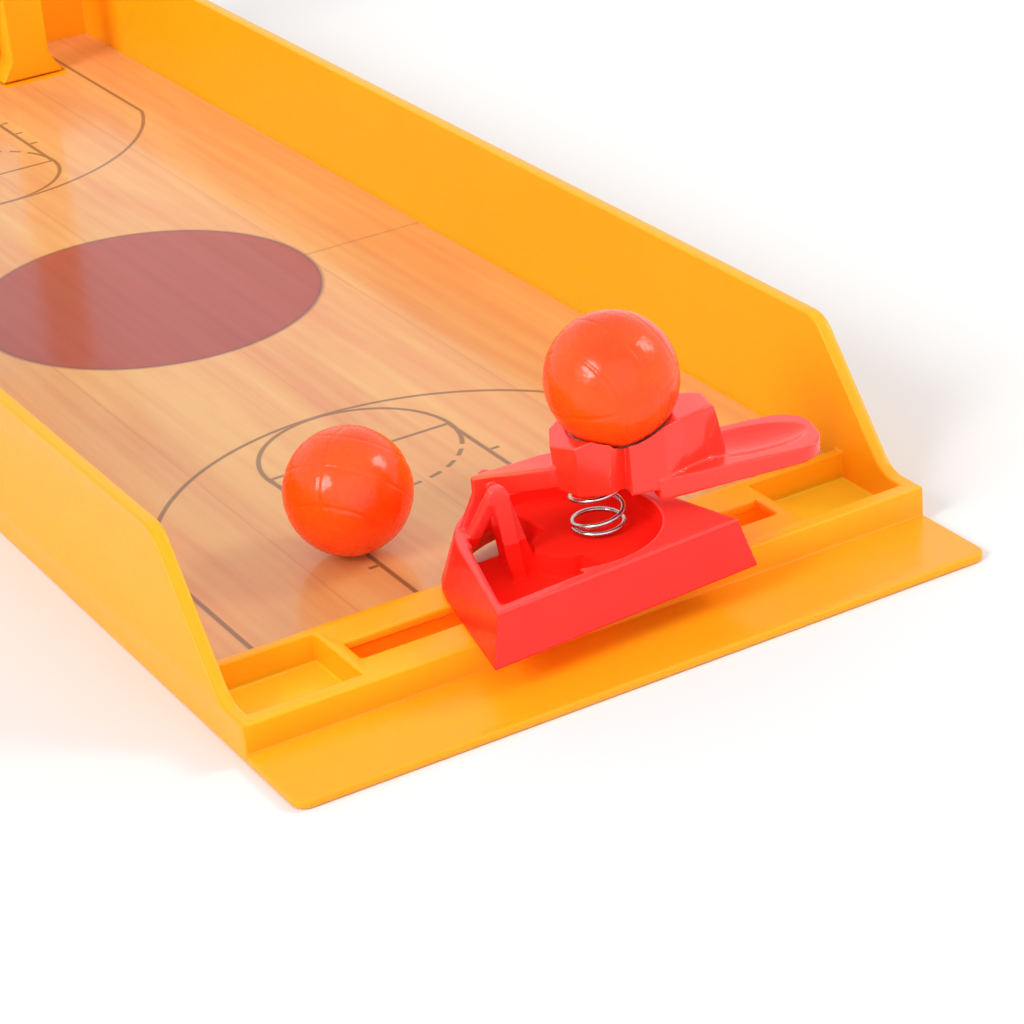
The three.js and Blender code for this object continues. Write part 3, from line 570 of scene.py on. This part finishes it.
def ballMesh(name):
    bpy.ops.object.select_all(action="DESELECT")
    radius = (ballShape["radius"] - ballShape["inset"]) * mm
    bpy.ops.mesh.primitive_ico_sphere_add(
        subdivisions=ballShape["subdivisions"], radius=radius, location=(0, 0, 0),
    )
    ball = bpy.context.object
    ball.name = name
    for kind, skin in ballShape["skin"].items():
        texture = bpy.data.textures.new(kind, "CLOUDS")
        texture.noise_scale = skin["size"] * mm
        texture.noise_depth = ballShape["skinDepth"]
        push = ball.modifiers.new(kind, "DISPLACE")
        push.texture = texture
        push.texture_coords = "LOCAL"
        push.mid_level = ballShape["skinMiddle"]
        push.strength = skin["height"] * mm
    applyAll(ball)
    reach = radius * ballShape["sideSeam"]
    width = ballShape["seamWidth"] * mm
    bpy.ops.object.mode_set(mode="EDIT")
    bpy.ops.mesh.select_all(action="DESELECT")
    bpy.ops.object.mode_set(mode="OBJECT")
    for vertex in ball.data.vertices:
        x, z = vertex.co.x, vertex.co.z
        vertex.select = min(abs(x), abs(z), abs(abs(x) - reach)) < width
    bpy.ops.object.mode_set(mode="EDIT")
    bpy.ops.mesh.select_mode(type="VERT")
    bpy.ops.transform.shrink_fatten(value=-ballShape["seamDepth"] * mm)
    bpy.ops.mesh.select_more()
    bpy.ops.mesh.vertices_smooth(factor=ballShape["seamSmooth"], repeat=ballShape["seamRounds"])
    bpy.ops.object.mode_set(mode="OBJECT")
    bpy.ops.object.shade_smooth()
    return ball


# seam and side normals as the camera sees them
ballPlaces = {
    "cupBall": {
        "node": "ball_cup", "body": "loaded_ball",
        "seamNormal": (0.695, 0.57, -0.44), "sideNormal": (-0.3, 0.75, 0.55),
    },
    "courtBall": {
        "node": "ball_court", "body": "spare_ball",
        "seamNormal": (0.2, 0.93, -0.3), "sideNormal": (0.9, -0.1, 0.4),
    },
}
facing = camera.matrix_basis.to_3x3()
for name, place in ballPlaces.items():
    ball = ballMesh(name)
    low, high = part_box(place["node"])
    first = (facing @ Vector(place["seamNormal"])).normalized()
    third = facing @ Vector(place["sideNormal"])
    third = (third - first * third.dot(first)).normalized()
    turn = Matrix((first, third.cross(first), third)).transposed()
    ball.rotation_euler = turn.to_euler()
    ball.location = (Vector(low) + Vector(high)) / 2
    settle(ball)
    finishPiece(ball, place["body"], ballOrange)
    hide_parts(place["node"])
print("scene: balls ready")

# spring: round wire, close end turns, open turns between
springShape = {
    "x": 0.6, "y": 28.0, "yaw": 3.9, "offset": 6.4, "leverYaw": -14.5, "foot": 13.3, "head": 25.5,
    "radius": 4.2, "wire": 0.8, "wireRings": 4, "endPitch": 0.85, "endTurns": 1.0, "middleTurns": 2.15,
    "stepsPerTurn": 40, "start": 180.0, "smoothUnder": 50,
}


def springPoints():
    s = springShape
    half = s["wire"] / 2
    rise = s["head"] - s["foot"] - s["wire"] - 2 * s["endTurns"] * s["endPitch"]
    turns = 2 * s["endTurns"] + s["middleTurns"]
    points = []
    for i in range(round(turns * s["stepsPerTurn"]) + 1):
        turn = i / s["stepsPerTurn"]
        low = min(turn, s["endTurns"])
        high = max(turn - s["endTurns"] - s["middleTurns"], 0)
        middle = turn - low - high
        z = s["foot"] + half + (low + high) * s["endPitch"] + rise * middle / s["middleTurns"]
        angle = math.radians(s["start"] + s["leverYaw"]) + 2 * math.pi * turn
        points.append((s["radius"] * math.cos(angle), s["radius"] * math.sin(angle), z))
    return points


yaw = math.radians(springShape["yaw"])
springX = springShape["x"] + springShape["offset"] * math.cos(yaw)
springY = springShape["y"] + springShape["offset"] * math.sin(yaw)
path = bpy.data.curves.new("springWire", "CURVE")
path.dimensions = "3D"
path.bevel_depth = springShape["wire"] / 2 * mm
path.bevel_resolution = springShape["wireRings"]
path.use_fill_caps = True
spline = path.splines.new("POLY")
points = springPoints()
spline.points.add(len(points) - 1)
for point, (x, y, z) in zip(spline.points, points):
    point.co = (*row(springX + x, springY + y, z), 1)
springWire = bpy.data.objects.new("springWire", path)
bpy.context.collection.objects.link(springWire)
pickOnly(springWire)
bpy.ops.object.convert(target="MESH")
springWire = bpy.context.object
bpy.ops.object.shade_smooth_by_angle(angle=math.radians(springShape["smoothUnder"]))
finishPiece(springWire, "launcher", brightSteel)
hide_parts("spring")
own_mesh(springWire)
print("scene: spring ready")

# launcher mouldings: every edge and inner corner softly rounded
smoothFactor = 0.5
mouldings = {
    "leverMoulding": {
        "node": "lever", "body": "lever", "voxel": 0.22, "smooth": 10, "material": leverRed,
    },
    "baseMoulding": {
        "node": "launcher_base", "body": "launcher", "voxel": 0.3, "smooth": 7, "material": baseRed,
    },
}
for name, shape in mouldings.items():
    piece = mergedCopy(name, shape["node"])
    piece.data.remesh_voxel_size = shape["voxel"] * mm
    piece.data.remesh_voxel_adaptivity = 0
    pickOnly(piece)
    bpy.ops.object.voxel_remesh()
    soft = piece.modifiers.new("soft", "SMOOTH")
    soft.factor = smoothFactor
    soft.iterations = shape["smooth"]
    applyAll(piece)
    bpy.ops.object.shade_smooth()
    finishPiece(piece, shape["body"], shape["material"])
    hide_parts(shape["node"])
    print("scene:", name, len(piece.data.polygons), "faces")

# stage: pale floor that keeps the shadow, white beyond it, three soft suns
floorShape = {
    "size": 6, "z": -0.0001,
    "shader": {"Base Color": (0.8, 0.8, 0.8, 1), "Roughness": 0.7, "Specular IOR Level": 0.2},
}
bpy.ops.object.select_all(action="DESELECT")
bpy.ops.mesh.primitive_plane_add(size=floorShape["size"], location=(0, 0, floorShape["z"]))
floor = bpy.context.object
floor.name = "floor"
floorPale, *_, floorShader = newMaterial("floorPale")
setShader(floorShader, floorShape["shader"])
floor.data.materials.append(floorPale)

domeLevel = 0.79
world = bpy.data.worlds.new("studio")
bpy.context.scene.world = world
world.use_nodes = True
domeNodes, domeLinks = world.node_tree.nodes, world.node_tree.links
dome = domeNodes["Background"]
dome.inputs["Color"].default_value = (1, 1, 1, 1)


def domeMaximum(a, b):
    node = domeNodes.new("ShaderNodeMath")
    node.operation = "MAXIMUM"
    domeLinks.new(a, node.inputs[0])
    domeLinks.new(b, node.inputs[1])
    return node.outputs[0]


# the eye and mirrors see it white, other light rays see it at its level
rays = domeNodes.new("ShaderNodeLightPath").outputs
seen = domeMaximum(rays["Is Camera Ray"], domeMaximum(rays["Is Glossy Ray"], rays["Is Transmission Ray"]))
strength = domeNodes.new("ShaderNodeMapRange")
strength.inputs["To Min"].default_value = domeLevel
strength.inputs["To Max"].default_value = 1.0
domeLinks.new(seen, strength.inputs["Value"])
domeLinks.new(strength.outputs["Result"], dome.inputs["Strength"])

suns = {
    "leftSun": {"from": (-0.78, -0.2, 0.52), "spread": 22, "strength": 1.6},
    "rightSun": {"from": (0.75, -0.2, 0.58), "spread": 19, "strength": 0.85},
    "frontSun": {"from": (-0.25, -0.95, 0.42), "spread": 60, "strength": 0.55},
}
for name, sun in suns.items():
    bpy.ops.object.light_add(type="SUN", location=sun["from"])
    light = bpy.context.object
    light.name = name
    light.data.angle = math.radians(sun["spread"])
    light.data.energy = sun["strength"]
    light.rotation_euler = (-Vector(sun["from"])).to_track_quat("-Z", "Y").to_euler()
bpy.context.scene.view_settings.view_transform = "Standard"
